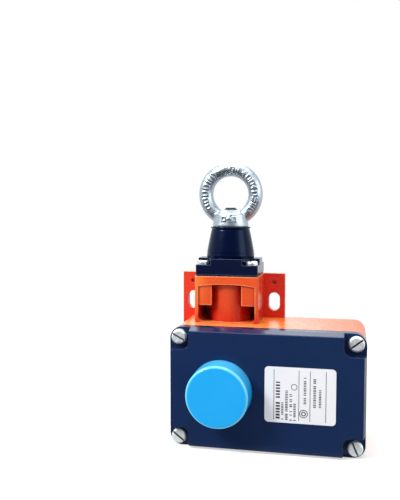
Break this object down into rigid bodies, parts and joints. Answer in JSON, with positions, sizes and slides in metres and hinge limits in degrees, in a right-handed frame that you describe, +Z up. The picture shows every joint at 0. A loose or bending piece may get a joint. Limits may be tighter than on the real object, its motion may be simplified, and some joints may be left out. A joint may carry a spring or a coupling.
{
  "type": "rope pull switch",
  "caption": "Latching rope pull safety switch: boxed housing with a lifting eye on a booted pull rod, a large reset button and two slotted mounting ears.",
  "frame": {"origin": "on the mounting plane behind the neck, on the pull rod's centre plane, midway between the two mounting slots", "axes": "+Z up along the pull rod towards the lifting eye, +Y out of the rear mounting plane, +X from the pull rod towards the cable entry end; the button and the cover face -Y"},
  "size_m": [0.1307, 0.0755, 0.1907],
  "materials": {
    "orange_paint": "gloss powder coat over die casting, fine orange peel",
    "navy_plastic": "moulded, satin",
    "blue_plastic": "moulded, semi-gloss",
    "black_rubber": "soft matte",
    "zinc_plate": "bright zinc plate",
    "spring_steel": "drawn wire and ground rod",
    "brass": "machined",
    "label_white": "printed film on a thin plate",
    "acetal": "moulded acetal"
  },
  "bodies": {
    "housing": {"housing": "orange_paint", "cover_gasket": "black_rubber", "cover": "navy_plastic", "cover_screws": "zinc_plate", "label_plate": "label_white", "reset_bush": "brass", "reset_seal": "black_rubber", "reset_spring": "spring_steel", "head_gasket": "black_rubber", "head_flange": "navy_plastic", "head_screws": "zinc_plate", "guide_bush": "brass", "rod_seal": "black_rubber", "boot": "black_rubber", "main_spring": "spring_steel", "lower_bush": "brass", "latch_bracket": "zinc_plate", "bracket_screws": "zinc_plate", "latch_pin": "spring_steel", "latch_spring": "spring_steel", "latch_clip": "spring_steel", "insert_base": "acetal", "insert_cover": "acetal", "insert_screws": "zinc_plate", "pull_plunger_spring": "spring_steel", "slack_plunger_spring": "spring_steel", "fixed_contacts": "brass", "terminal_clamps": "zinc_plate", "terminal_screws": "zinc_plate", "earth_screw": "brass", "earth_clamp": "brass", "blanking_plug": "navy_plastic"},
    "pull_rod": {"pull_rod": "spring_steel", "pull_eye": "zinc_plate", "lock_nut": "zinc_plate", "boot_washer": "zinc_plate", "spring_plate": "spring_steel", "plate_clip": "spring_steel", "switching_cam": "acetal", "cam_washer": "zinc_plate", "cam_nut": "zinc_plate"},
    "reset_button": {"reset_button": "blue_plastic", "reset_stem": "spring_steel", "reset_clip": "spring_steel"},
    "pull_plunger": {"pull_plunger": "acetal", "pull_bridge": "brass"},
    "slack_plunger": {"slack_plunger": "acetal", "slack_bridge": "brass"},
    "latch_pawl": {"latch_pawl": "spring_steel"}
  },
  "joints": [
    {"name": "pull", "type": "slide", "parent": "housing", "child": "pull_rod", "axis": [0, 0, 1], "range_m": [0, 0.012], "stiffness_N_per_m": 3000, "springref_m": -0.004, "deforming": ["main_spring", "boot"]},
    {"name": "reset", "type": "slide", "parent": "housing", "child": "reset_button", "axis": [0, 1, 0], "range_m": [0, 0.004], "stiffness_N_per_m": 600, "springref_m": -0.003, "deforming": ["reset_spring"]},
    {"name": "pull_contact", "type": "slide", "parent": "housing", "child": "pull_plunger", "axis": [1, 0, 0], "range_m": [0, 0.003], "deforming": ["pull_plunger_spring"]},
    {"name": "slack_contact", "type": "slide", "parent": "housing", "child": "slack_plunger", "axis": [-1, 0, 0], "range_m": [0, 0.003], "deforming": ["slack_plunger_spring"]},
    {"name": "latch", "type": "hinge", "parent": "housing", "child": "latch_pawl", "pos_m": [0.001, -0.035, -0.0445], "axis": [1, 0, 0], "range_deg": [0, 35], "deforming": ["latch_spring"]}
  ],
  "couplings": [
    {"joint": "pull_contact", "follows": "pull", "ratio": 0.25},
    {"joint": "slack_contact", "follows": "pull", "ratio": 0.25},
    {"joint": "latch", "follows": "reset", "rad_per_m": 152.7}
  ]
}
